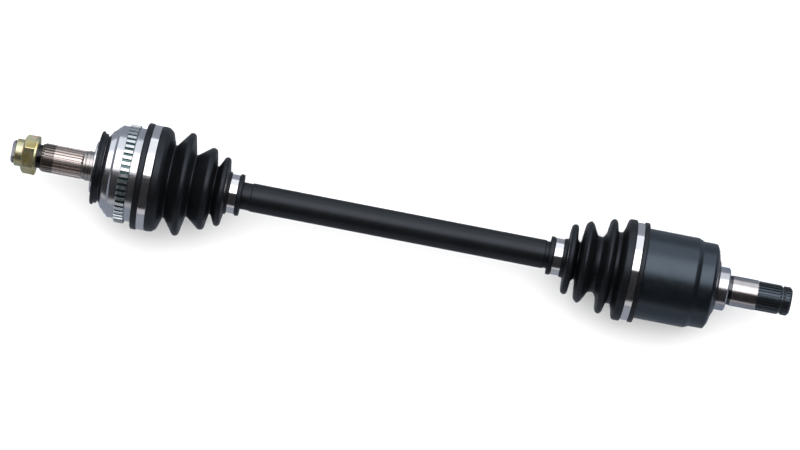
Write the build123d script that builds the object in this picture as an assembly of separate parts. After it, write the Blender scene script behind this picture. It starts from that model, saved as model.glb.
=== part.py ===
"""Front-wheel-drive half shaft: fixed ball joint at the hub end, plunging tripod joint at the gearbox end.

Row frame, millimetres: +X runs along the axle from the hub to the gearbox and +Z is up. The origin
is on the axle's axis, in the plane of the shoulder that seats against the wheel bearing. Both joints
are drawn straight.
"""

import math
import os

from build123d import *

# ---- fits -------------------------------------------------------------------------------------
RUNNING = 0.05  # radial clearance of parts that turn or slide on each other
SEATED = 0.02  # radial gap left between parts that are pressed or clipped together

# ---- hub stub ---------------------------------------------------------------------------------
THREAD_R, THREAD_ROOT_R, THREAD_PITCH = 11.0, 10.2, 1.5
STUB_TIP_X, THREAD_END_X = -76.4, -52.4
TIP_CHAMFER = 1.6
STAKE_SLOT_W, STAKE_SLOT_DEPTH, STAKE_SLOT_END_X = 8.6, 2.6, -62.0
HUB_SPLINE_TEETH, HUB_SPLINE_R, HUB_SPLINE_ROOT_R = 28, 13.25, 12.05
HUB_SPLINE_X0, HUB_SPLINE_X1 = -48.7, -9.2
HUB_JOURNAL_R = 13.8

# ---- hub nut ----------------------------------------------------------------------------------
NUT_COLLAR_X, NUT_HEX_X, NUT_FLANGE_X, NUT_END_X = -72.9, -66.1, -55.6, -52.7
NUT_COLLAR_R, NUT_ACROSS_FLATS, NUT_FLANGE_R = 12.6, 32.0, 18.2
NUT_CORNER_R = 18.3  # the hexagon's corners are turned down to this
NUT_TURN = 11.4  # degrees about +X, the way the nut happens to stand on its thread

# ---- fixed ball joint -------------------------------------------------------------------------
CV_X = 33.0  # the joint's centre
BALLS, BALL_R, BALL_PITCH_R = 6, 7.94, 27.5
TRACK_R = 8.9  # wider than the ball, see the half-angle cage
CAGE_OUT_R, CAGE_IN_R, CAGE_HALF_W = 31.5, 27.0, 12.0
RACE_R, RACE_HALF_W, RACE_GAP = CAGE_IN_R - RUNNING, 12.5, 0.4
CUP_BORE_R = CAGE_OUT_R + RUNNING
CUP_FLOOR_X = CV_X - 23.6
CUP_TRACK_END_X = CV_X - 20.4
CUP_MOUTH_X, CUP_MOUTH_R, CUP_FLARE_X = 55.5, 39.9, CV_X + 12.0
CUP_R = 42.9  # outside, under the tone ring
CUP_SEAT_R = 43.4  # outside, under the boot

# ---- tone ring and dust ring ------------------------------------------------------------------
RING_X0, RING_X1, RING_TIP_R, RING_ROOT_R = 27.3, 36.2, 46.1, 44.3
RING_TEETH = 50
DUST_SEAT_R = 24.0

# ---- hub boot ---------------------------------------------------------------------------------
HUB_BOOT_X0, HUB_BOOT_X1 = 42.9, 138.6
HUB_BOOT_LIP_R, HUB_BOOT_SMALL_LIP_R = 49.6, 19.4
HUB_BIG_BAND = (48.8, 56.4, 48.8)  # start, end, outer radius
HUB_SMALL_BAND = (127.0, 134.4, 18.0)
HUB_BOOT_FOLDS = [  # (x, radius) of each crest and root, from the cup to the bar
    (59.5, 48.7), (64.5, 47.9), (71.2, 34.4), (84.2, 47.2), (91.8, 29.2),
    (105.6, 37.4), (112.4, 22.9), (120.0, 31.4), (124.6, 19.6),
]
BOOT_WALL, BAND_T = 2.4, 1.0
HUB_EAR_TOP, BOX_EAR_TOP = 50.6, 48.2  # distance of each big band's ear from the axis
EAR_W, EAR_INSET, EAR_ROUND = 11.0, 0.6, 0.8

# ---- bar --------------------------------------------------------------------------------------
BAR_R, BAR_NECK_R, BAR_END_R = 13.25, 12.6, 11.8
BAR_BODY_X0, BAR_BODY_X1 = 147.2, 422.3
HUB_TAPER, BOX_TAPER = (112.0, 122.0), (442.0, 452.0)  # where the ends widen to the necks
TURNED_LINES_X, TURNED_LINE_W, TURNED_LINE_DEPTH = (143.6, 423.6), 0.5, 0.35
BAR_SPLINE_TEETH, BAR_SPLINE_R, BAR_SPLINE_ROOT_R = 26, 12.0, 11.0
BAR_HUB_END_X = CV_X - 14.5
CLIP_T, CLIP_WIDE = 1.6, 2.0

# ---- tripod joint -----------------------------------------------------------------------------
TRI_X = 537.75  # the spider's centre
ROLLERS, ROLLER_R, ROLLER_PITCH_R, ROLLER_HALF_W = 3, 16.0, 23.0, 7.0
TRUNNION_R, TRUNNION_END = 9.5, 32.6
NEEDLES, NEEDLE_R, NEEDLE_LEN = 24, 1.25, 12.0
ROLLER_BORE_R = TRUNNION_R + 2 * NEEDLE_R + 2 * RUNNING
SPIDER_R, SPIDER_HALF_W, SPIDER_SEAT = 17.5, 11.0, 15.9
TRACK_HALF_W, TRACK_BOTTOM_R, LAND_R = 16.75, 34.6, 22.5
HOUSING_MOUTH_X, HOUSING_FLOOR_X = 498.0, 573.0
MOUTH_CONE_R, MOUTH_CONE_END_X = 32.6, 526.0
STOP_RING_X, STOP_RING_IN_R, STOP_RING_OUT_R, STOP_RING_W = 499.8, 32.7, 36.0, 1.6

# ---- gearbox stub -----------------------------------------------------------------------------
HOUSING_R, HOUSING_BACK_R = 41.9, 39.6
HOUSING_STEP_X, HOUSING_BACK_X, HOUSING_END_X = 559.4, 576.2, 583.3
SEAL_R, SEAL_X1 = 20.0, 593.2
NECK_R, NECK_X1 = 13.6, 596.6
DIFF_JOURNAL_R, DIFF_JOURNAL_X1 = 14.0, 620.2
DIFF_SPLINE_TEETH, DIFF_SPLINE_R, DIFF_SPLINE_ROOT_R = 28, 13.6, 12.5
DIFF_GROOVE_X0, DIFF_GROOVE_X1, DIFF_GROOVE_R = 643.0, 645.8, 11.9
DIFF_TIP_X = 652.5

# ---- gearbox boot -----------------------------------------------------------------------------
BOX_BOOT_X0, BOX_BOOT_X1 = 426.0, 512.4
BOX_BOOT_SMALL_LIP_R, BOX_BOOT_LIP_R = 17.8, 46.5
BOX_SMALL_BAND = (430.3, 438.2, 17.0)
BOX_BIG_BAND = (500.9, 507.8, 45.3)
BOX_BOOT_FOLDS = [
    (440.2, 18.0), (445.5, 32.1), (452.2, 17.9), (459.0, 37.4), (469.8, 26.2),
    (479.6, 43.6), (486.8, 33.6), (494.2, 46.9), (499.2, 46.9),
]


# ---- building blocks --------------------------------------------------------------------------
def turned(points):
    """Solid of revolution about the X axis from (x, radius) corners."""
    return revolve(make_face(Polyline(*points, close=True)), Axis.X)


def ring(x0, x1, inner_r, outer_r):
    """Plain ring about the X axis."""
    return turned([(x0, inner_r), (x1, inner_r), (x1, outer_r), (x0, outer_r)])


def disc(x0, x1, radius):
    """Plain cylinder along the X axis."""
    return turned([(x0, 0), (x1, 0), (x1, radius), (x0, radius)])


def on_circle(radius, degrees):
    """Point in the plane of a section, at that angle."""
    turn = math.radians(degrees)
    return (radius * math.cos(turn), radius * math.sin(turn))


def toothed(teeth, root_r, tip_r, x0, x1, root_share=0.30, tip_share=0.22):
    """Bar along X whose section has straight-sided teeth. The shares are of one pitch."""
    pitch = 360 / teeth
    corners = []
    for tooth in range(teeth):
        middle = tooth * pitch
        corners.append(on_circle(root_r, middle - pitch * (0.5 - root_share / 2)))
        corners.append(on_circle(tip_r, middle - pitch * tip_share))
        corners.append(on_circle(tip_r, middle + pitch * tip_share))
        corners.append(on_circle(root_r, middle + pitch * (0.5 - root_share / 2)))
    section = Plane.YZ.offset(x0) * make_face(Polyline(*corners, close=True))
    return extrude(section, amount=x1 - x0)


def ball_azimuths():
    """Degrees about +X from +Y."""
    return [30 + 360 / BALLS * k for k in range(BALLS)]


def sphere_at(x, radius):
    return Pos(x, 0, 0) * Sphere(radius)


def around(azimuth):
    """Location turned about the X axis; at 0 degrees its local Y is the frame's +Y."""
    return Rot(azimuth, 0, 0)


def track_tori(radius):
    """The ball tracks' cutters: one torus in each of the three planes that hold two opposite balls."""
    flat = Torus(BALL_PITCH_R, radius)
    return [Pos(CV_X, 0, 0) * around(azimuth) * flat for azimuth in ball_azimuths()[: BALLS // 2]]


def only(shape):
    """The one solid that a shape holds."""
    solids = shape.solids()
    assert len(solids) == 1, f"expected one solid and got {len(solids)}"
    return solids[0]


# ---- hub stub and cup -------------------------------------------------------------------------
def thread_outline(x0, x1):
    """Ring grooves at the thread's pitch, standing for the helix."""
    turns = int((x1 - x0) / THREAD_PITCH)
    points = []
    for turn in range(turns):
        start = x0 + turn * THREAD_PITCH
        points += [(start + 0.2, THREAD_R), (start + 0.5, THREAD_R)]
        points += [(start + 1.0, THREAD_ROOT_R), (start + 1.2, THREAD_ROOT_R)]
    return points + [(x0 + turns * THREAD_PITCH + 0.2, THREAD_R)]


def hub_stub():
    chamfer = 1.3
    threaded = turned(
        [(STUB_TIP_X, 0), (STUB_TIP_X, THREAD_R - TIP_CHAMFER)]
        + thread_outline(STUB_TIP_X + TIP_CHAMFER, THREAD_END_X - 1.0)
        + [(HUB_SPLINE_X0 + 1, THREAD_R - 0.1), (HUB_SPLINE_X0 + 1, 0)]
    )
    slot = Pos((STUB_TIP_X + STAKE_SLOT_END_X) / 2 - 2, 0, THREAD_R) * Box(
        STAKE_SLOT_END_X - STUB_TIP_X + 4, STAKE_SLOT_W, 2 * STAKE_SLOT_DEPTH
    )
    blank = turned([
        (HUB_SPLINE_X0, 0), (HUB_SPLINE_X0, HUB_SPLINE_R - chamfer),
        (HUB_SPLINE_X0 + 2 * chamfer, HUB_SPLINE_R), (HUB_SPLINE_X1 - 1.5, HUB_SPLINE_R),
        (HUB_SPLINE_X1, HUB_SPLINE_ROOT_R), (HUB_SPLINE_X1, 0),
    ])
    teeth = toothed(
        HUB_SPLINE_TEETH, HUB_SPLINE_ROOT_R, HUB_SPLINE_R, HUB_SPLINE_X0, HUB_SPLINE_X1
    )
    journal = turned([
        (HUB_SPLINE_X1 - 2.4, 0), (HUB_SPLINE_X1 - 2.4, HUB_SPLINE_ROOT_R),
        (HUB_SPLINE_X1, HUB_SPLINE_R - 0.1), (-6.9, HUB_SPLINE_R - 0.1), (-6.5, HUB_JOURNAL_R),
        (2.0, HUB_JOURNAL_R), (2.0, 0),
    ])
    return (threaded - slot) + (blank & teeth) + journal


def cup_outside():
    """The cup, with its turned steps, from the bearing shoulder to the mouth."""
    return turned([
        (0, 0), (0, DUST_SEAT_R - 0.6), (0.6, DUST_SEAT_R), (7.2, DUST_SEAT_R), (7.2, 29.6),
        (9.4, 30.4), (12.6, 35.6), (13.4, 36.6), (14.9, 36.6), (15.2, 38.2), (16.6, 38.2),
        (17.0, 40.2), (18.2, 40.4), (19.8, CUP_R - 0.5), (20.5, CUP_R), (RING_X1 + 0.8, CUP_R),
        (RING_X1 + 0.8, CUP_SEAT_R), (CUP_MOUTH_X - 1.0, CUP_SEAT_R),
        (CUP_MOUTH_X, CUP_SEAT_R - 1.0), (CUP_MOUTH_X, 0),
    ])


def cup_cavity():
    """Spherical bore with a flat floor, flared at the mouth for the bar's full bend."""
    floor_r = math.sqrt(CUP_BORE_R**2 - (CV_X - CUP_FLOOR_X) ** 2)
    flare_r = math.sqrt(CUP_BORE_R**2 - (CUP_FLARE_X - CV_X) ** 2)
    past = 1.0
    mouth = (CUP_MOUTH_X + past, CUP_MOUTH_R + past)
    outline = [
        Line((CUP_FLOOR_X, 0), (CUP_FLOOR_X, floor_r)),
        ThreePointArc((CUP_FLOOR_X, floor_r), (CV_X, CUP_BORE_R), (CUP_FLARE_X, flare_r)),
        Line((CUP_FLARE_X, flare_r), mouth),
        Line(mouth, (mouth[0], 0)),
        Line((mouth[0], 0), (CUP_FLOOR_X, 0)),
    ]
    return revolve(make_face(outline), Axis.X)


def outer_race_stub():
    cup = cup_outside() - cup_cavity()
    reach = disc(CUP_TRACK_END_X, CUP_MOUTH_X + 5, CUP_R)
    for torus in track_tori(TRACK_R):
        cup = cup - (torus & reach)
    # room for the race's edge at full bend
    cup = cup - sphere_at(CV_X, RACE_R + RACE_GAP)
    return only(cup + hub_stub())


def hub_nut():
    """Flange nut with a thin collar that is staked into the stub's slot."""
    across_corners = NUT_ACROSS_FLATS / math.cos(math.radians(30))
    corner_drop = 0.5 * (across_corners / 2 - NUT_COLLAR_R)
    hexagon = RegularPolygon(across_corners / 2, 6)
    prism = extrude(
        Plane.YZ.offset(NUT_HEX_X) * Rot(0, 0, NUT_TURN) * hexagon, NUT_FLANGE_X + 1 - NUT_HEX_X
    )
    envelope = turned([
        (NUT_HEX_X, 0), (NUT_HEX_X, NUT_ACROSS_FLATS / 2 - 1.2),
        (NUT_HEX_X + corner_drop / 1.4, NUT_CORNER_R), (NUT_FLANGE_X + 1, NUT_CORNER_R),
        (NUT_FLANGE_X + 1, 0),
    ])
    collar = turned([
        (NUT_COLLAR_X, 0), (NUT_COLLAR_X, NUT_COLLAR_R - 0.5), (NUT_COLLAR_X + 0.5, NUT_COLLAR_R),
        (NUT_HEX_X + 1, NUT_COLLAR_R), (NUT_HEX_X + 1, 0),
    ])
    flange = turned([
        (NUT_FLANGE_X, 0), (NUT_FLANGE_X, NUT_FLANGE_R - 0.7), (NUT_FLANGE_X + 0.7, NUT_FLANGE_R),
        (NUT_END_X - 0.5, NUT_FLANGE_R), (NUT_END_X, NUT_FLANGE_R - 0.9), (NUT_END_X, 0),
    ])
    bore = disc(NUT_COLLAR_X - 1, NUT_END_X + 1, THREAD_R + RUNNING)
    countersink = turned([
        (NUT_END_X - 1.2, 0), (NUT_END_X - 1.2, THREAD_R), (NUT_END_X + 0.2, THREAD_R + 1.4),
        (NUT_END_X + 0.2, 0),
    ])
    return only((prism & envelope) + collar + flange - bore - countersink)


def dust_ring():
    """Rubber slinger on the cup's shoulder: a thin lip, a groove and the barrel that holds it."""
    return turned([
        (2.6, DUST_SEAT_R + SEATED), (6.9, DUST_SEAT_R + SEATED), (6.9, 29.8), (8.0, 30.9),
        (7.9, 31.9), (7.4, 32.4), (5.4, 32.5), (5.0, 33.0), (4.8, 33.8), (4.3, 34.2),
        (3.1, 34.2), (2.6, 33.7), (2.3, 31.0), (2.3, 26.0),
    ])


def abs_tone_ring():
    teeth = toothed(
        RING_TEETH, RING_ROOT_R, RING_TIP_R, RING_X0, RING_X1, root_share=0.34, tip_share=0.23
    )
    blank = turned([
        (RING_X0, 0), (RING_X0, RING_TIP_R - 0.5), (RING_X0 + 0.5, RING_TIP_R),
        (RING_X1 - 0.5, RING_TIP_R), (RING_X1, RING_TIP_R - 0.5), (RING_X1, 0),
    ])
    return only((teeth & blank) - disc(RING_X0 - 1, RING_X1 + 1, CUP_R + SEATED))


# ---- fixed ball joint's inside ----------------------------------------------------------------
def cage():
    shell = sphere_at(CV_X, CAGE_OUT_R) - sphere_at(CV_X, CAGE_IN_R)
    shell = shell & disc(CV_X - CAGE_HALF_W, CV_X + CAGE_HALF_W, CAGE_OUT_R + 1)
    window = BALL_R + RUNNING
    for azimuth in ball_azimuths():
        pocket = Pos(0, BALL_PITCH_R + 1, 0) * Box(2 * window, 14, 2 * window + 1.6)
        pocket = fillet(pocket.edges().filter_by(Axis.Y), 3.0)
        shell = shell - Pos(CV_X, 0, 0) * around(azimuth) * pocket
    return only(shell)


def ball(azimuth):
    return Pos(CV_X, 0, 0) * around(azimuth) * Pos(0, BALL_PITCH_R, 0) * Sphere(BALL_R)


def inner_race():
    race = sphere_at(CV_X, RACE_R) & disc(CV_X - RACE_HALF_W, CV_X + RACE_HALF_W, RACE_R + 1)
    for torus in track_tori(TRACK_R):
        race = race - torus
    bore = toothed(
        BAR_SPLINE_TEETH, BAR_SPLINE_ROOT_R + RUNNING, BAR_SPLINE_R + RUNNING,
        CV_X - RACE_HALF_W - 1, CV_X + RACE_HALF_W + 1, root_share=0.26, tip_share=0.24,
    )
    return only(race - bore)


def split_clip(x, inner_r, outer_r, width, gap=3.0, azimuth=0):
    """Snap ring with a gap."""
    whole = ring(x - width / 2, x + width / 2, inner_r, outer_r)
    return whole - around(azimuth) * Pos(x, outer_r, 0) * Box(width + 1, outer_r, gap)


# ---- bar --------------------------------------------------------------------------------------
RACE_CLIP_X = CV_X - RACE_HALF_W - 1.0
SPIDER_STOP_X = TRI_X - SPIDER_HALF_W - 1.0
SPIDER_CLIP_X = TRI_X + SPIDER_HALF_W + 1.0
BAR_BOX_END_X = TRI_X + 15.0
GROOVE_R = 10.4


def groove(x, width=CLIP_T + 0.1, root_r=GROOVE_R):
    return ring(x - width / 2, x + width / 2, root_r, BAR_R + 1)


def axle_bar():
    hub_spline_x1, box_spline_x0 = CV_X + 15.0, TRI_X - 15.0
    hub_end = toothed(
        BAR_SPLINE_TEETH, BAR_SPLINE_ROOT_R, BAR_SPLINE_R, BAR_HUB_END_X, hub_spline_x1 + 1
    )
    box_end = toothed(
        BAR_SPLINE_TEETH, BAR_SPLINE_ROOT_R, BAR_SPLINE_R, box_spline_x0 - 1, BAR_BOX_END_X
    )
    envelope = turned([
        (BAR_HUB_END_X, 0), (BAR_HUB_END_X, BAR_SPLINE_R - 1.2), (BAR_HUB_END_X + 1.2, BAR_SPLINE_R),
        (BAR_BOX_END_X - 1.2, BAR_SPLINE_R), (BAR_BOX_END_X, BAR_SPLINE_R - 1.2), (BAR_BOX_END_X, 0),
    ])
    body = turned([
        (hub_spline_x1, 0), (hub_spline_x1, BAR_SPLINE_ROOT_R), (hub_spline_x1 + 1.5, BAR_END_R),
        (HUB_TAPER[0], BAR_END_R), (HUB_TAPER[1], BAR_NECK_R), (BAR_BODY_X0, BAR_NECK_R),
        (BAR_BODY_X0 + 0.6, BAR_R), (BAR_BODY_X1 - 0.6, BAR_R), (BAR_BODY_X1, BAR_NECK_R),
        (BOX_TAPER[0], BAR_NECK_R), (BOX_TAPER[1], BAR_END_R), (box_spline_x0 - 1.5, BAR_END_R),
        (box_spline_x0, BAR_SPLINE_ROOT_R), (box_spline_x0, 0),
    ])
    for x in TURNED_LINES_X:
        body = body - ring(x, x + TURNED_LINE_W, BAR_NECK_R - TURNED_LINE_DEPTH, BAR_R)
    bar = ((hub_end + box_end) & envelope) + body
    for x in (RACE_CLIP_X, SPIDER_STOP_X, SPIDER_CLIP_X):
        bar = bar - groove(x)
    return only(bar)


# ---- boots and bands --------------------------------------------------------------------------
def hub_boot():
    x0, x1 = HUB_BOOT_X0, HUB_BOOT_X1
    big0, big1, _ = HUB_BIG_BAND
    small0, small1, _ = HUB_SMALL_BAND
    big_seat, small_seat = HUB_BIG_BAND[2] - BAND_T - SEATED, HUB_SMALL_BAND[2] - BAND_T - SEATED
    outside = [
        (x0, HUB_BOOT_LIP_R - 1.2), (x0 + 1.2, HUB_BOOT_LIP_R), (big0 - 0.8, HUB_BOOT_LIP_R),
        (big0 - 0.3, big_seat), (big1 + 0.3, big_seat), (big1 + 0.6, 48.4),
        *HUB_BOOT_FOLDS,
        (small0 - 0.3, 19.2), (small0 - 0.2, small_seat), (small1 + 0.2, small_seat),
        (small1 + 0.4, HUB_BOOT_SMALL_LIP_R - 0.8), (small1 + 1.2, HUB_BOOT_SMALL_LIP_R),
        (x1 - 0.6, HUB_BOOT_SMALL_LIP_R), (x1, HUB_BOOT_SMALL_LIP_R - 0.6),
    ]
    bar_r = BAR_NECK_R + RUNNING
    inside = [
        (x1, bar_r), (small0 - 1.0, bar_r),
        *[(x, r - BOOT_WALL) for x, r in reversed(HUB_BOOT_FOLDS[:-1])],
        (CUP_MOUTH_X + 0.6, CUP_SEAT_R - 0.4), (CUP_MOUTH_X + 0.3, CUP_SEAT_R + RUNNING),
        (x0, CUP_SEAT_R + RUNNING),
    ]
    return only(turned(outside + inside))


def gearbox_boot():
    x0, x1 = BOX_BOOT_X0, BOX_BOOT_X1
    big0, big1, _ = BOX_BIG_BAND
    small0, small1, _ = BOX_SMALL_BAND
    big_seat, small_seat = BOX_BIG_BAND[2] - BAND_T - SEATED, BOX_SMALL_BAND[2] - BAND_T - SEATED
    outside = [
        (x0, BOX_BOOT_SMALL_LIP_R - 0.6), (x0 + 0.6, BOX_BOOT_SMALL_LIP_R),
        (small0 - 0.9, BOX_BOOT_SMALL_LIP_R), (small0 - 0.3, small_seat),
        (small1 + 0.3, small_seat), (small1 + 0.6, 17.6),
        *BOX_BOOT_FOLDS,
        (big0 - 0.5, 46.4), (big0 - 0.3, big_seat), (big1 + 0.3, big_seat),
        (big1 + 0.7, BOX_BOOT_LIP_R), (x1 - 1.0, BOX_BOOT_LIP_R), (x1, BOX_BOOT_LIP_R - 1.2),
    ]
    bar_r = BAR_NECK_R + RUNNING
    inside = [
        (x1, HOUSING_R + RUNNING), (HOUSING_MOUTH_X - 0.3, HOUSING_R + RUNNING),
        (HOUSING_MOUTH_X - 0.6, HOUSING_R - 0.6),
        (493.0, 42.6),
        *[(x, r - BOOT_WALL) for x, r in reversed(BOX_BOOT_FOLDS[1:-2])],
        (small1 + 1.6, bar_r), (x0, bar_r),
    ]
    return only(turned(outside + inside))


def band(x0, x1, outer_r):
    """Crimped boot band, rounded at its outer edges."""
    plain = ring(x0, x1, outer_r - BAND_T, outer_r)
    return only(fillet(plain.edges().filter_by(GeomType.CIRCLE).sort_by(SortBy.RADIUS)[-2:], 0.3))


def eared_band(x0, x1, outer_r, ear_top):
    """Crimped boot band closed by a low flat-topped ear at the bottom, on which the axle lies."""
    foot = outer_r - 0.6 * BAND_T
    block = Box(x1 - x0 - 2 * EAR_INSET, EAR_W, ear_top - foot)
    ear = Pos((x0 + x1) / 2, 0, -(ear_top + foot) / 2) * block
    ear = fillet(ear.edges().filter_by(Axis.X).sort_by(Axis.Z)[:2], EAR_ROUND)
    return only(band(x0, x1, outer_r) + ear)


# ---- tripod joint -----------------------------------------------------------------------------
def trunnion_azimuths():
    """Degrees about +X from +Y; the first trunnion points up."""
    return [90 + 360 / ROLLERS * k for k in range(ROLLERS)]


def radial(azimuth, shape):
    """Places a shape made about the local Z axis so that Z runs out along the trunnion."""
    return Pos(TRI_X, 0, 0) * around(azimuth) * Rot(-90, 0, 0) * shape


def post(inner_r, outer_r, start, end):
    """Ring about local Z between two heights."""
    tube = Cylinder(outer_r, end - start) - Cylinder(inner_r, end - start + 1)
    return Pos(0, 0, (start + end) / 2) * tube


def spider():
    hub = disc(TRI_X - SPIDER_HALF_W, TRI_X + SPIDER_HALF_W, SPIDER_R)
    stem_len = TRUNNION_END - 5
    for azimuth in trunnion_azimuths():
        seat = Pos(0, 0, SPIDER_SEAT + 10) * Cylinder(ROLLER_R, 20)
        hub = hub - radial(azimuth, seat)
    for azimuth in trunnion_azimuths():
        stem = Pos(0, 0, 5 + stem_len / 2) * Cylinder(TRUNNION_R, stem_len)
        clip_groove = post(8.4, TRUNNION_R + 1, 31.15, 32.25)
        hub = hub + radial(azimuth, stem - clip_groove)
    bore = toothed(
        BAR_SPLINE_TEETH, BAR_SPLINE_ROOT_R + RUNNING, BAR_SPLINE_R + RUNNING,
        TRI_X - SPIDER_HALF_W - 1, TRI_X + SPIDER_HALF_W + 1, root_share=0.26, tip_share=0.24,
    )
    return only(hub - bore)


def roller(azimuth):
    """Barrel roller: spherical outside, plain bore."""
    barrel = Sphere(ROLLER_R) & Cylinder(ROLLER_R, 2 * ROLLER_HALF_W)
    barrel = barrel - Cylinder(ROLLER_BORE_R, 2 * ROLLER_HALF_W + 1)
    return only(radial(azimuth, Pos(0, 0, ROLLER_PITCH_R) * barrel))


def needle_set(azimuth):
    orbit = TRUNNION_R + NEEDLE_R + RUNNING
    needle = Cylinder(NEEDLE_R, NEEDLE_LEN)
    made = []
    for k in range(NEEDLES):
        y, z = on_circle(orbit, 360 / NEEDLES * k)
        made.append(radial(azimuth, Pos(y, z, ROLLER_PITCH_R) * needle))
    return Compound(children=[only(shape) for shape in made])


def roller_washer(azimuth):
    return only(radial(azimuth, post(TRUNNION_R + SEATED, 13.4, 30.1, 31.1)))


def roller_clip(azimuth):
    whole = post(8.4 + SEATED, 10.7, 31.2, 32.2)
    gap = Pos(0, 9.5, 31.7) * Box(3, 6, 2)
    return only(radial(azimuth, whole - gap))


def housing_tracks():
    """Three flat-sided roller tracks, joined in the middle, and the mouth's cone."""
    length = HOUSING_FLOOR_X - HOUSING_MOUTH_X + 1
    middle = (HOUSING_FLOOR_X + HOUSING_MOUTH_X - 1) / 2
    hollow = disc(HOUSING_MOUTH_X - 1, HOUSING_FLOOR_X, LAND_R)
    bottom = disc(HOUSING_MOUTH_X - 2, HOUSING_FLOOR_X, TRACK_BOTTOM_R)
    for azimuth in trunnion_azimuths():
        reach = TRACK_BOTTOM_R + 2
        slot = Pos(middle, reach / 2, 0) * Box(length, reach, 2 * TRACK_HALF_W)
        hollow = hollow + ((around(azimuth) * slot) & bottom)
    cone = turned([
        (HOUSING_MOUTH_X - 1, 0), (HOUSING_MOUTH_X - 1, MOUTH_CONE_R + 0.4),
        (MOUTH_CONE_END_X, LAND_R), (MOUTH_CONE_END_X, 0),
    ])
    stop_groove = disc(
        STOP_RING_X - STOP_RING_W / 2 - 0.05, STOP_RING_X + STOP_RING_W / 2 + 0.05,
        STOP_RING_OUT_R + SEATED,
    )
    return hollow + cone + stop_groove


def inner_housing():
    outside = turned([
        (HOUSING_MOUTH_X, 0), (HOUSING_MOUTH_X, HOUSING_R - 1), (HOUSING_MOUTH_X + 1, HOUSING_R),
        (HOUSING_STEP_X, HOUSING_R), (HOUSING_STEP_X + 1.6, HOUSING_R - 0.6),
        (HOUSING_STEP_X + 4.6, HOUSING_BACK_R + 0.2), (HOUSING_STEP_X + 5.4, HOUSING_BACK_R),
        (HOUSING_BACK_X, HOUSING_BACK_R), (HOUSING_BACK_X + 1.6, HOUSING_BACK_R - 0.9),
        (HOUSING_BACK_X + 3.6, 34.8), (HOUSING_END_X - 1.6, 27.0), (HOUSING_END_X, 23.6),
        (HOUSING_END_X, SEAL_R), (SEAL_X1 - 1.2, SEAL_R), (SEAL_X1, SEAL_R - 1.2),
        (SEAL_X1, NECK_R), (NECK_X1, NECK_R), (NECK_X1 + 0.3, DIFF_JOURNAL_R),
        (DIFF_JOURNAL_X1, DIFF_JOURNAL_R), (DIFF_JOURNAL_X1 + 0.6, DIFF_SPLINE_ROOT_R),
        (DIFF_JOURNAL_X1 + 0.6, 0),
    ])
    teeth = toothed(
        DIFF_SPLINE_TEETH, DIFF_SPLINE_ROOT_R, DIFF_SPLINE_R, DIFF_JOURNAL_X1, DIFF_TIP_X
    )
    blank = turned([
        (DIFF_JOURNAL_X1, 0), (DIFF_JOURNAL_X1, DIFF_SPLINE_R), (DIFF_GROOVE_X0 - 1.4, DIFF_SPLINE_R),
        (DIFF_GROOVE_X0, DIFF_SPLINE_R - 0.9), (DIFF_GROOVE_X0, DIFF_GROOVE_R),
        (DIFF_GROOVE_X1, DIFF_GROOVE_R), (DIFF_GROOVE_X1, DIFF_SPLINE_R - 0.6),
        (DIFF_GROOVE_X1 + 0.6, DIFF_SPLINE_R - 0.2), (DIFF_TIP_X - 2.2, DIFF_SPLINE_R - 0.2),
        (DIFF_TIP_X, DIFF_SPLINE_R - 2.4), (DIFF_TIP_X, 0),
    ])
    return only(outside + (teeth & blank) - housing_tracks())


def roller_stop_ring():
    """Wire ring at the housing's mouth that keeps the rollers in."""
    return only(
        split_clip(STOP_RING_X, STOP_RING_IN_R, STOP_RING_OUT_R, STOP_RING_W, 6.0, azimuth=30)
    )


def stub_circlip():
    """Snap ring pushed against the groove's outer side."""
    width = 1.3
    middle = DIFF_GROOVE_X1 - SEATED - width / 2
    return only(split_clip(middle, DIFF_GROOVE_R + RUNNING, 13.2, width, 4.0, azimuth=-60))


# ---- writing ----------------------------------------------------------------------------------
def model():
    """Every sub-part by node name."""
    parts = {
        "outer_race_stub": outer_race_stub(),
        "hub_nut": hub_nut(),
        "dust_ring": only(dust_ring()),
        "abs_tone_ring": abs_tone_ring(),
        "ball_cage": cage(),
        "inner_race": inner_race(),
        "race_snap_ring": only(split_clip(RACE_CLIP_X, GROOVE_R + SEATED, 12.8, CLIP_T)),
        "hub_boot": hub_boot(),
        "hub_boot_large_band": eared_band(*HUB_BIG_BAND, HUB_EAR_TOP),
        "hub_boot_small_band": band(*HUB_SMALL_BAND),
        "axle_bar": axle_bar(),
        "gearbox_boot": gearbox_boot(),
        "gearbox_boot_large_band": eared_band(*BOX_BIG_BAND, BOX_EAR_TOP),
        "gearbox_boot_small_band": band(*BOX_SMALL_BAND),
        "spider": spider(),
        "spider_stop_ring": only(split_clip(SPIDER_STOP_X, GROOVE_R + SEATED, 14.0, CLIP_T)),
        "spider_circlip": only(split_clip(SPIDER_CLIP_X, GROOVE_R + SEATED, 14.0, CLIP_T)),
        "inner_housing": inner_housing(),
        "roller_stop_ring": roller_stop_ring(),
        "stub_circlip": stub_circlip(),
    }
    for number, azimuth in enumerate(ball_azimuths(), 1):
        parts[f"ball_{number}"] = ball(azimuth)
    for number, azimuth in enumerate(trunnion_azimuths(), 1):
        parts[f"roller_{number}"] = roller(azimuth)
        parts[f"needle_set_{number}"] = needle_set(azimuth)
        parts[f"roller_washer_{number}"] = roller_washer(azimuth)
        parts[f"roller_clip_{number}"] = roller_clip(azimuth)
    return parts


def write(parts):
    os.makedirs("parts", exist_ok=True)
    for node, shape in parts.items():
        export_step(shape, f"parts/{node}.step")


write(model())
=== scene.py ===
import math

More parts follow.
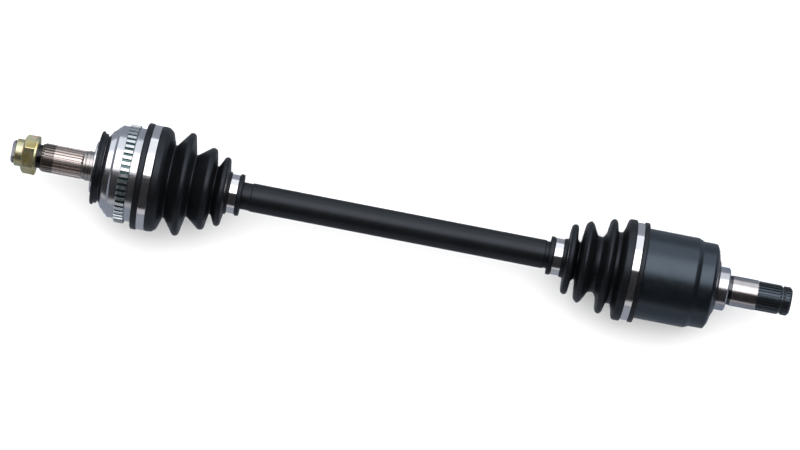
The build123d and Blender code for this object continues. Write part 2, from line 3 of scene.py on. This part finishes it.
import bpy
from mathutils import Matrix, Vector


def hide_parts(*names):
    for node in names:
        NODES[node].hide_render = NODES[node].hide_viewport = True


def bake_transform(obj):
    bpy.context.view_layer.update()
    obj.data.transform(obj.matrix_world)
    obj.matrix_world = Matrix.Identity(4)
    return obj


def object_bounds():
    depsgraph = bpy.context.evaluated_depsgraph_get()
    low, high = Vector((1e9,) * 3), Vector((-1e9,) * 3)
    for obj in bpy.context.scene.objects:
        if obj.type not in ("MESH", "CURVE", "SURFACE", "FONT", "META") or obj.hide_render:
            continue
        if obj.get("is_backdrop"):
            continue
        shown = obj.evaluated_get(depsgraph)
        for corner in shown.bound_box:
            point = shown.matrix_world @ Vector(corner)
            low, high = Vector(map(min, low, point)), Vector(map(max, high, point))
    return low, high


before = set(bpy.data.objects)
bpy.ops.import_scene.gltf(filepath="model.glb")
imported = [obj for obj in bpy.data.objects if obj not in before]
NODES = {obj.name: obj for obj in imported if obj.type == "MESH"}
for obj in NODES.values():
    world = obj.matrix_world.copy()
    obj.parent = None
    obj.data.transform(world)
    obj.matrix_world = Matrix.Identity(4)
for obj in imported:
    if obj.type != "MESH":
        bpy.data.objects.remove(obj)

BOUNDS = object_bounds()
MM = 0.001


def plain(value):
    return [plain(v) for v in value] if hasattr(value, "__len__") else float(value)


# ---- outlines ---------------------------------------------------------------------------------
ARC_STEPS = 24  # steps in half a turn of a rounding
STRAIGHT = math.radians(89)


def rounded(corners):
    """Outline through (x, radius, rounding) corners, with an arc of that rounding at each."""
    points = []
    for k, (x, r, rounding) in enumerate(corners):
        here = Vector((x, r))
        if rounding <= 0 or k in (0, len(corners) - 1):
            points.append(here)
            continue
        back = Vector(corners[k - 1][:2]) - here
        ahead = Vector(corners[k + 1][:2]) - here
        half = back.angle(ahead) / 2
        if half > STRAIGHT:
            points.append(here)
            continue
        cut = min(rounding / math.tan(half), 0.49 * back.length, 0.49 * ahead.length)
        radius = cut * math.tan(half)
        middle = here + (back.normalized() + ahead.normalized()).normalized() * (radius / math.sin(half))
        a = here + back.normalized() * cut - middle
        b = here + ahead.normalized() * cut - middle
        turn = a.angle_signed(b)
        count = max(3, int(abs(turn) / math.pi * ARC_STEPS))
        for i in range(count + 1):
            t = -turn * i / count
            spoke = Vector((a.x * math.cos(t) - a.y * math.sin(t), a.x * math.sin(t) + a.y * math.cos(t)))
            points.append(middle + spoke)
    return points


def spaced(points, longest):
    """The same outline with its long straight stretches divided."""
    out = [points[0]]
    for a, b in zip(points, points[1:]):
        if (b - a).length < 1e-4:
            continue
        parts = max(1, math.ceil((b - a).length / longest))
        out += [a.lerp(b, i / parts) for i in range(1, parts + 1)]
    return out


TURN = 2 * math.pi
TURN_STEPS = 160
SEAMS = (math.radians(90 + 28), math.radians(270 + 28))  # azimuths of the boots' moulding lines
SEAM_FOOT, SEAM_TOP, SEAM_CLEAR = 0.012, 0.004, 0.016  # half widths of a moulding line, in radians


def turned(name, outline, outer_count, seam_height):
    """Closed mesh from an outline turned about the X axis; its first outer_count points carry the seams."""
    turns = [(TURN * k / TURN_STEPS, 0.0) for k in range(TURN_STEPS)]
    for seam in SEAMS:
        turns = [t for t in turns if abs((t[0] - seam + math.pi) % TURN - math.pi) > SEAM_CLEAR]
        profile = ((-SEAM_FOOT, 0.0), (-SEAM_TOP, 1.0), (SEAM_TOP, 1.0), (SEAM_FOOT, 0.0))
        turns += [((seam + offset) % TURN, height) for offset, height in profile]
    turns.sort()
    verts, faces = [], []
    for turn, lift in turns:
        for i, p in enumerate(outline):
            r = p.y + (lift * seam_height if i < outer_count else 0.0)
            verts.append((p.x * MM, r * math.cos(turn) * MM, r * math.sin(turn) * MM))
    n, m = len(outline), len(turns)
    for j in range(m):
        for i in range(n):
            a, b = j * n + i, j * n + (i + 1) % n
            c, d = ((j + 1) % m) * n + (i + 1) % n, ((j + 1) % m) * n + i
            faces.append((a, b, c, d))
    mesh = bpy.data.meshes.new(name)
    mesh.from_pydata(verts, [], faces)
    mesh.update()
    obj = bpy.data.objects.new(name, mesh)
    bpy.context.scene.collection.objects.link(obj)
    mesh.polygons.foreach_set("use_smooth", [True] * len(mesh.polygons))
    return obj


# ---- materials --------------------------------------------------------------------------------
class Finish:
    """A procedural material laid out in the object's own coordinates."""

    def __init__(self, name):
        self.mat = bpy.data.materials.new(name)
        self.mat.use_nodes = True
        self.tree = self.mat.node_tree
        self.tree.nodes.clear()
        self.out = self.node("ShaderNodeOutputMaterial")
        self.bsdf = self.node("ShaderNodeBsdfPrincipled")
        self.link(self.bsdf.outputs["BSDF"], self.out.inputs["Surface"])
        self.coords = self.node("ShaderNodeTexCoord").outputs["Object"]
        self.height = None

    def node(self, kind, **values):
        made = self.tree.nodes.new(kind)
        for key, value in values.items():
            setattr(made, key, value)
        return made

    def link(self, a, b):
        self.tree.links.new(a, b)

    def noise(self, scale, detail, stretch=(1, 1, 1)):
        mapping = self.node("ShaderNodeMapping")
        mapping.inputs["Scale"].default_value = stretch
        self.link(self.coords, mapping.inputs["Vector"])
        noise = self.node("ShaderNodeTexNoise")
        noise.inputs["Scale"].default_value = scale
        noise.inputs["Detail"].default_value = detail
        noise.inputs["Roughness"].default_value = 0.55
        self.link(mapping.outputs["Vector"], noise.inputs["Vector"])
        return noise.outputs["Fac"]

    def ramp(self, source, stops, constant=False):
        ramp = self.node("ShaderNodeValToRGB")
        ramp.color_ramp.interpolation = "CONSTANT" if constant else "LINEAR"
        elements = ramp.color_ramp.elements
        while len(elements) > 1:
            elements.remove(elements[-1])
        for k, (place, colour) in enumerate(stops):
            element = elements[0] if k == 0 else elements.new(place)
            element.position = place
            element.color = (*colour, 1) if len(colour) == 3 else colour
        self.link(source, ramp.inputs["Fac"])
        return ramp.outputs["Color"]

    def span(self, source, low, high, to_low=0.0, to_high=1.0):
        ranged = self.node("ShaderNodeMapRange")
        ranged.inputs["From Min"].default_value = low
        ranged.inputs["From Max"].default_value = high
        ranged.inputs["To Min"].default_value = to_low
        ranged.inputs["To Max"].default_value = to_high
        self.link(source, ranged.inputs["Value"])
        return ranged.outputs["Result"]

    def along(self, x0, x1):
        """How far along the axle, 0 at x0 and 1 at x1, in millimetres."""
        split = self.node("ShaderNodeSeparateXYZ")
        self.link(self.coords, split.inputs["Vector"])
        return self.span(split.outputs["X"], x0 * MM, x1 * MM)

    def multiply(self, a, b):
        mix = self.node("ShaderNodeMix", data_type="RGBA", blend_type="MULTIPLY")
        mix.inputs[0].default_value = 1.0
        self.link(a, mix.inputs[6])
        self.link(b, mix.inputs[7])
        return mix.outputs[2]

    def colour(self, source):
        self.link(source, self.bsdf.inputs["Base Color"])

    def roughness(self, source):
        self.link(source, self.bsdf.inputs["Roughness"])

    def bump(self, source, strength, distance):
        bump = self.node("ShaderNodeBump")
        bump.inputs["Strength"].default_value = strength
        bump.inputs["Distance"].default_value = distance
        self.link(source, bump.inputs["Height"])
        if self.height is not None:
            self.link(self.height, bump.inputs["Normal"])
        self.height = bump.outputs["Normal"]
        self.link(self.height, self.bsdf.inputs["Normal"])

    def set(self, **values):
        for key, value in values.items():
            self.bsdf.inputs[key.replace("_", " ")].default_value = value


def zones(f, x0, x1, stops):
    """A stepped colour along the axle: each stop is where a colour starts, in millimetres."""
    return f.ramp(f.along(x0, x1), [((x - x0) / (x1 - x0), c) for x, c in stops], constant=True)


def grey(v):
    return (v, v, v)


def rubber():
    f = Finish("boot_rubber")
    f.colour(f.ramp(f.noise(60, 6), [(0.3, (0.0018, 0.0019, 0.0021)), (0.7, (0.0034, 0.0036, 0.0040))]))
    f.roughness(f.span(f.noise(220, 5), 0.3, 0.7, 0.36, 0.46))
    f.bump(f.noise(900, 3), 0.12, 0.0003)
    f.set(Specular_IOR_Level=0.42, Specular_Tint=(0.74, 0.84, 1.0, 1))
    return f.mat


def band_steel():
    f = Finish("polished_band")
    f.colour(f.ramp(f.noise(30, 3), [(0.3, (0.78, 0.76, 0.78)), (0.7, (0.84, 0.82, 0.84))]))
    f.roughness(f.span(f.noise(500, 3, (0.1, 1, 1)), 0.3, 0.7, 0.10, 0.18))
    f.bump(f.noise(300, 2, (6, 1, 1)), 0.015, 0.0001)
    f.set(Metallic=1.0)
    return f.mat


def turned_steel():
    """The cup and its stub: bright turned steel, brown-grey spline, dark thread."""
    f = Finish("turned_steel")
    base = zones(f, -80, 60, [
        (-80, (0.50, 0.50, 0.53)), (-53, (0.04, 0.04, 0.045)), (-48.8, (0.27, 0.24, 0.23)),
        (-37, (0.62, 0.55, 0.52)), (-10.8, (0.56, 0.52, 0.50)), (-8.2, (0.15, 0.14, 0.14)),
        (-7.4, (0.52, 0.48, 0.47)), (-4.2, (0.26, 0.24, 0.24)), (-3.5, (0.52, 0.48, 0.47)),
        (0.3, (0.68, 0.68, 0.72)),
    ])
    tint = f.ramp(f.noise(25, 3, (0.6, 1, 1)), [(0.35, grey(0.90)), (0.65, grey(1.0))])
    f.colour(f.multiply(base, tint))
    fine = f.noise(40, 3, (30, 0.1, 0.1))
    level = zones(f, -80, 60, [
        (-80, grey(0.30)), (-48.8, grey(0.34)), (-7.4, grey(0.32)), (0.3, grey(0.25)),
    ])
    wear = f.ramp(fine, [(0.3, grey(0.75)), (0.7, grey(1.0))])
    f.roughness(f.multiply(level, wear))
    f.bump(fine, 0.02, 0.0001)
    f.set(Metallic=1.0)
    return f.mat


def zinc():
    """Bright zinc on the ring's teeth, with painted shade darkening the gaps between them."""
    f = Finish("zinc_teeth")
    flat = f.node("ShaderNodeMapping")
    flat.inputs["Scale"].default_value = (0, 1, 1)
    f.link(f.coords, flat.inputs["Vector"])
    reach = f.node("ShaderNodeVectorMath", operation="LENGTH")
    f.link(flat.outputs["Vector"], reach.inputs[0])
    height = f.span(reach.outputs["Value"], 44.3 * MM, 46.1 * MM)
    # Painted shade: the colour darkens from the tooth tops down to the roots, standing in for the shade
    # that falls in the gaps.
    painted_gap_shade = f.ramp(height, [(0.2, (0.12, 0.17, 0.17)), (0.8, grey(1.0))])
    coat = f.ramp(f.noise(90, 5), [(0.3, (0.70, 0.74, 0.76)), (0.7, (0.84, 0.87, 0.89))])
    f.colour(f.multiply(coat, painted_gap_shade))
    f.roughness(f.span(f.noise(300, 4), 0.3, 0.7, 0.22, 0.32))
    f.bump(f.noise(500, 3), 0.02, 0.0002)
    f.set(Metallic=1.0)
    return f.mat


def yellow_zinc():
    f = Finish("yellow_zinc")
    film = f.noise(55, 2, (1, 1.4, 1))
    f.colour(f.ramp(film, [
        (0.30, (0.52, 0.42, 0.16)), (0.42, (0.66, 0.55, 0.24)), (0.50, (0.70, 0.62, 0.36)),
        (0.58, (0.55, 0.60, 0.38)), (0.66, (0.74, 0.55, 0.43)), (0.74, (0.62, 0.51, 0.21)),
    ]))
    f.roughness(f.span(f.noise(260, 4), 0.3, 0.7, 0.30, 0.42))
    f.bump(f.noise(500, 3), 0.06, 0.0002)
    f.set(Metallic=1.0)
    return f.mat


def black_paint(name, with_stub=False):
    """Satin black paint; on the housing, its stub is bare steel and then phosphated."""
    f = Finish(name)
    if not with_stub:
        film = [(0.3, (0.0018, 0.0019, 0.0022)), (0.7, (0.0032, 0.0034, 0.0040))]
        f.colour(f.ramp(f.noise(40, 4), film))
        f.roughness(f.span(f.noise(160, 5), 0.3, 0.7, 0.36, 0.44))
    else:
        base = zones(f, 490, 660, [
            (490, (0.0022, 0.0028, 0.0036)), (583.4, (0.60, 0.59, 0.62)), (593.3, (0.10, 0.10, 0.11)),
            (596.6, (0.58, 0.54, 0.54)), (620.3, (0.006, 0.0065, 0.007)),
            (643.2, (0.02, 0.02, 0.022)), (646.0, (0.006, 0.0065, 0.007)),
        ])
        tint = f.ramp(f.noise(40, 4), [(0.35, grey(0.80)), (0.65, grey(1.0))])
        f.colour(f.multiply(base, tint))
        bare = zones(f, 490, 660, [(490, grey(0.0)), (583.4, grey(1.0)), (620.3, grey(0.0))])
        f.link(bare, f.bsdf.inputs["Metallic"])
        level = zones(f, 490, 660, [(490, grey(0.36)), (583.4, grey(0.22)), (620.3, grey(0.28))])
        rough = f.ramp(f.noise(160, 5), [(0.35, grey(0.82)), (0.65, grey(1.0))])
        f.roughness(f.multiply(level, rough))
    f.bump(f.noise(700, 3), 0.08, 0.0003)
    if not with_stub:
        f.set(Specular_IOR_Level=0.45, Specular_Tint=(0.80, 0.88, 1.0, 1))
    else:
        f.set(Specular_IOR_Level=0.95, Specular_Tint=(0.66, 0.82, 1.0, 1))
    return f.mat


def bearing_steel():
    f = Finish("bearing_steel")
    f.colour(f.ramp(f.noise(60, 3), [(0.3, (0.60, 0.60, 0.62)), (0.7, (0.72, 0.72, 0.74))]))
    f.roughness(f.span(f.noise(300, 4), 0.3, 0.7, 0.14, 0.24))
    f.bump(f.noise(600, 3), 0.05, 0.0002)
    f.set(Metallic=1.0)
    return f.mat


def spring_steel():
    f = Finish("spring_steel")
    f.colour(f.ramp(f.noise(120, 4), [(0.3, (0.42, 0.42, 0.44)), (0.7, (0.60, 0.60, 0.62))]))
    f.roughness(f.span(f.noise(300, 4), 0.3, 0.7, 0.22, 0.36))
    f.bump(f.noise(600, 3), 0.08, 0.0002)
    f.set(Metallic=1.0)
    return f.mat


def floor_finish():
    f = Finish("pale_floor")
    f.colour(f.ramp(f.noise(5, 5), [(0.35, grey(0.90)), (0.65, grey(0.92))]))
    f.roughness(f.span(f.noise(30, 4), 0.3, 0.7, 0.75, 0.85))
    f.bump(f.noise(120, 4), 0.03, 0.001)
    f.set(Specular_IOR_Level=0.15)
    return f.mat


RUBBER, BAND, TURNED = rubber(), band_steel(), turned_steel()
FINISH_OF = {
    "outer_race_stub": TURNED, "hub_nut": yellow_zinc(), "abs_tone_ring": zinc(),
    "dust_ring": RUBBER, "axle_bar": black_paint("bar_paint"),
    "stub_circlip": black_paint("ring_phosphate"),
    "inner_housing": black_paint("housing_finish", with_stub=True),
}
BEARING, SPRING = bearing_steel(), spring_steel()
for name, node in NODES.items():
    if name in FINISH_OF:
        chosen = FINISH_OF[name]
    elif "band" in name:
        chosen = BAND
    elif "boot" in name:
        chosen = RUBBER
    elif "ring" in name or "clip" in name:
        chosen = SPRING
    else:
        chosen = BEARING
    node.data.materials.clear()
    node.data.materials.append(chosen)


# ---- boots ------------------------------------------------------------------------------------
def hub_boot():
    outside = rounded([
        (42.9, 46.0, 0), (42.9, 49.6, 1.7), (48.5, 49.6, 1.5), (48.6, 47.7, 0), (56.6, 47.7, 0),
        (56.7, 48.5, 0.4), (57.6, 49.0, 1.5), (62.6, 48.6, 4.2), (66.6, 45.6, 5.0), (70.5, 33.9, 1.5),
        (72.2, 34.1, 1.6), (83.0, 48.6, 3.2), (87.2, 47.4, 3.0), (91.0, 28.9, 1.6), (92.5, 28.9, 2.0),
        (105.0, 38.7, 3.2), (109.2, 37.4, 2.8), (111.8, 22.5, 1.4), (113.4, 22.5, 1.4),
        (118.3, 32.4, 2.8), (122.9, 31.9, 2.7), (124.7, 20.0, 0.8), (126.2, 19.6, 0.7),
        (126.8, 18.9, 0.3), (126.9, 17.0, 0), (134.6, 17.0, 0), (134.7, 19.3, 0.6), (136.2, 19.5, 0.7),
        (138.5, 19.1, 0.8), (138.6, 16.0, 0.4), (138.8, 14.4, 0.3), (138.8, 12.66, 0),
    ])
    inside = rounded([
        (138.8, 12.66, 0), (125.6, 12.66, 0), (121.8, 27.8, 2.0), (119.0, 27.8, 2.0), (113.8, 19.6, 1.0),
        (110.8, 19.8, 1.0), (107.8, 33.6, 2.0), (105.2, 34.8, 2.0), (93.2, 26.2, 1.2), (89.8, 26.2, 1.0),
        (86.0, 44.2, 2.0), (83.4, 45.0, 2.0), (72.6, 31.2, 1.0), (69.4, 31.2, 1.0), (64.4, 43.2, 2.0),
        (56.4, 43.46, 0), (42.9, 43.46, 0),
    ])
    outside, inside = spaced(outside, 1.6), spaced(inside, 2.5)
    return turned("hub_boot_moulded", outside + inside[1:], len(outside), seam_height=0.16)


def gearbox_boot_outline():
    outside = rounded([
        (426.0, 16.8, 0), (426.0, 17.8, 0.5), (429.9, 17.8, 0.6), (430.0, 16.0, 0), (438.4, 16.0, 0),
        (438.5, 18.0, 0.5), (441.2, 18.1, 0.8), (442.0, 20.0, 0.5), (442.7, 31.4, 2.2), (445.8, 33.2, 3.0),
        (448.6, 31.6, 2.4), (449.8, 20.0, 1.2), (451.8, 17.4, 1.2), (453.3, 17.4, 0.8), (455.4, 35.2, 3.0),
        (459.3, 39.0, 2.9), (462.4, 36.0, 3.0), (467.4, 26.4, 2.6), (472.4, 25.8, 2.2),
        (475.4, 31.0, 2.0), (477.0, 42.6, 2.8), (480.2, 45.0, 2.8), (483.0, 42.6, 2.8),
        (485.2, 33.4, 1.8), (489.4, 33.3, 2.0), (491.6, 39.0, 2.0), (493.2, 47.2, 3.0),
        (500.6, 47.2, 1.0), (500.7, 44.2, 0), (508.0, 44.2, 0), (508.1, 46.6, 1.0), (512.5, 46.6, 1.4),
        (512.6, 44.0, 0.8), (512.6, 42.0, 0),
    ])
    inside = rounded([
        (512.6, 42.0, 0), (498.0, 42.0, 0), (494.4, 42.8, 1.0), (492.0, 33.0, 1.0), (489.0, 30.8, 1.0),
        (484.2, 30.8, 1.0), (480.2, 41.4, 1.4), (478.2, 41.4, 1.4), (475.6, 26.0, 1.0), (470.4, 23.4, 1.0),
        (466.0, 23.8, 1.0), (459.4, 35.4, 1.2), (457.8, 35.0, 1.2), (455.4, 17.0, 0.8), (453.2, 14.9, 0.6),
        (450.2, 15.0, 0.6), (446.6, 29.4, 1.2), (444.0, 29.4, 1.2), (442.6, 15.4, 0.6), (439.6, 12.66, 0),
        (426.0, 12.66, 0),
    ])
    return spaced(outside, 1.4), spaced(inside, 2.2)


def cut_outline(points, x, after):
    """The part of an outline on one side of x, ending exactly at x."""
    side = 1 if after else -1
    kept = []
    for p, q in zip(points, points[1:]):
        here, there = (p.x - x) * side, (q.x - x) * side
        if here >= 0:
            kept.append(p)
        if here * there < 0:
            kept.append(p.lerp(q, (x - p.x) / (q.x - p.x)))
    if (points[-1].x - x) * side >= 0:
        kept.append(points[-1])
    return kept


SPLIT_X = 469.4  # the root where the boot's bending half meets its sliding half

boot_a = hub_boot()
outside, inside = gearbox_boot_outline()
low_out, low_in = cut_outline(outside, SPLIT_X, False), cut_outline(inside, SPLIT_X, False)
high_out, high_in = cut_outline(outside, SPLIT_X, True), cut_outline(inside, SPLIT_X, True)
boot_b = turned("gearbox_boot_small_half", low_out + low_in, len(low_out), seam_height=0.2)
boot_c = turned("gearbox_boot_large_half", high_out + high_in[1:], len(high_out), seam_height=0.2)
for piece in (boot_a, boot_b, boot_c):
    piece.data.materials.append(RUBBER)
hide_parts("hub_boot")
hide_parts("gearbox_boot")
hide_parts("gearbox_boot")
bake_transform(boot_a)
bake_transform(boot_b)
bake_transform(boot_c)

# ---- floor ------------------------------------------------------------------------------------
HUB_REST, BOX_REST = Vector((0.0526, 0, -0.0507)), Vector((0.5044, 0, -0.0483))
bpy.ops.mesh.primitive_plane_add(size=9.0)
floor = bpy.context.object
floor.name = "floor"
slope = (BOX_REST - HUB_REST).normalized()
floor.rotation_euler = (0, -math.asin(slope.z), 0)
middle = (HUB_REST + BOX_REST) / 2
floor.location = middle
floor.data.materials.append(floor_finish())
floor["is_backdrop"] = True


# ---- light ------------------------------------------------------------------------------------
def panel(name, place, aim, wide, tall, power, colour=(1, 1, 1), mirrored=True):
    data = bpy.data.lights.new(name, "AREA")
    data.shape = "RECTANGLE"
    data.size, data.size_y = wide, tall
    data.energy = power
    data.color = colour
    lamp = bpy.data.objects.new(name, data)
    bpy.context.scene.collection.objects.link(lamp)
    lamp.location = place
    lamp.rotation_euler = (Vector(aim) - Vector(place)).to_track_quat("-Z", "Y").to_euler()
    lamp.visible_camera = False
    lamp.visible_glossy = mirrored
    lamp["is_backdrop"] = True
    return lamp


MID = (0.287, 0, 0)
panel("key_high", (0.287, 0.92, 1.75), MID, 3.4, 1.75, 44, (1.0, 0.985, 1.0))
panel("key_side", (0.287, 1.75, 0.55), MID, 3.4, 1.42, 17, (0.90, 0.95, 1.0))
panel("low_side", (0.287, -1.9, 0.28), MID, 3.4, 0.5, 3.0, (0.97, 0.97, 1.0))
panel("fill", (0.287, -0.1, 3.0), MID, 4.0, 4.0, 34, (1, 1, 1), mirrored=False)
floor.visible_glossy = False

# The room: white to the eye and for soft light, and a dark ceiling over a grey-blue floor in the gloss.
ROOM_WHITE = 0.85
world = bpy.data.worlds.new("studio")
world.use_nodes = True
sky = world.node_tree
direction = sky.nodes.new("ShaderNodeTexCoord")
split = sky.nodes.new("ShaderNodeSeparateXYZ")
lift = sky.nodes.new("ShaderNodeMapRange")
shade = sky.nodes.new("ShaderNodeValToRGB")
ray = sky.nodes.new("ShaderNodeLightPath")
choose = sky.nodes.new("ShaderNodeMix")
choose.data_type = "RGBA"
lift.inputs["From Min"].default_value = -1.0
shade.color_ramp.elements[0].position = 0.46
shade.color_ramp.elements[0].color = (0.30, 0.33, 0.38, 1)
shade.color_ramp.elements[1].position = 0.52
shade.color_ramp.elements[1].color = (0.020, 0.020, 0.022, 1)
choose.inputs[6].default_value = (ROOM_WHITE, ROOM_WHITE, ROOM_WHITE, 1)
sky.links.new(direction.outputs["Generated"], split.inputs["Vector"])
sky.links.new(split.outputs["Z"], lift.inputs["Value"])
sky.links.new(lift.outputs["Result"], shade.inputs["Fac"])
sky.links.new(ray.outputs["Is Glossy Ray"], choose.inputs[0])
sky.links.new(shade.outputs["Color"], choose.inputs[7])
sky.links.new(choose.outputs[2], sky.nodes["Background"].inputs["Color"])
bpy.context.scene.world = world
bpy.context.scene.view_settings.view_transform = "Standard"

# ---- camera -----------------------------------------------------------------------------------
camera_data = bpy.data.cameras.new("camera")
camera = bpy.data.objects.new("camera", camera_data)
bpy.context.scene.collection.objects.link(camera)
CAMERA_HIGH, VIEW_WIDTH = 3.5, 0.736
SENSOR_WIDTH = 36
camera.location = (0.2866, 0.0011, CAMERA_HIGH)
camera.rotation_euler = (0, 0, math.radians(10.98))
camera_data.sensor_width = SENSOR_WIDTH
camera_data.lens = SENSOR_WIDTH * CAMERA_HIGH / VIEW_WIDTH
bpy.context.scene.camera = camera

{"cad": plain(BOUNDS), "visual": plain(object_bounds())}
